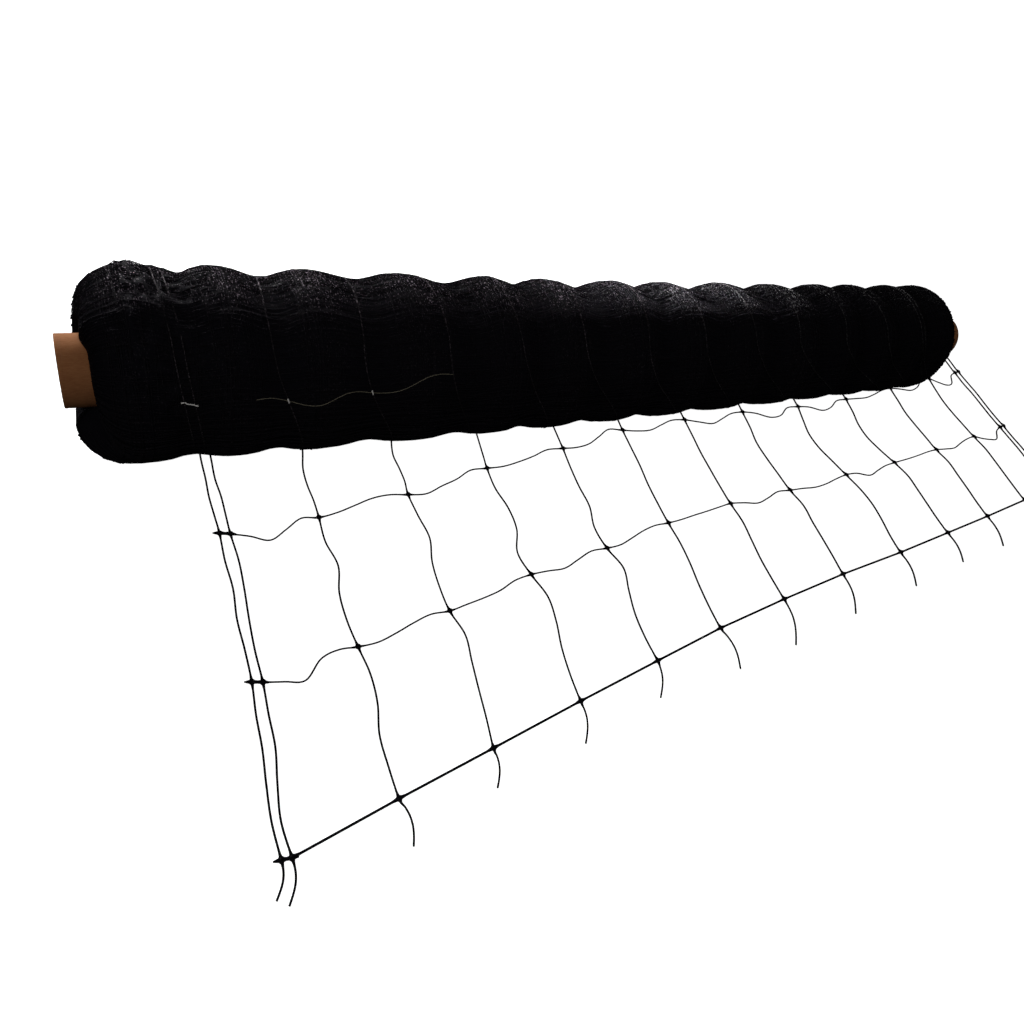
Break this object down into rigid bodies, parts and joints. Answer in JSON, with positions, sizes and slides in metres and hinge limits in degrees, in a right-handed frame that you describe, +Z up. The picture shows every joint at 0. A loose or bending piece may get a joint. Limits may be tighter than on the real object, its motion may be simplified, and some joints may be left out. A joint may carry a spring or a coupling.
{
  "type": "roll of trellis netting",
  "caption": "Roll of black plastic trellis netting wound on a cardboard tube, with its loose end spread flat on the floor in front.",
  "frame": {"origin": "on the floor under the middle of the roll, on the flat strip that the roll rests on", "axes": "+X along the roll to its thin end, +Z up; the loose end of the net lies towards -Y"},
  "size_m": [1.719, 0.7216, 0.2232],
  "materials": {
    "net_plastic": "dull black extruded plastic strands",
    "kraft_board": "plain brown kraft cardboard"
  },
  "bodies": {
    "root": {"wound_net": "net_plastic", "core_tube": "kraft_board", "loose_net": "net_plastic"}
  },
  "joints": []
}
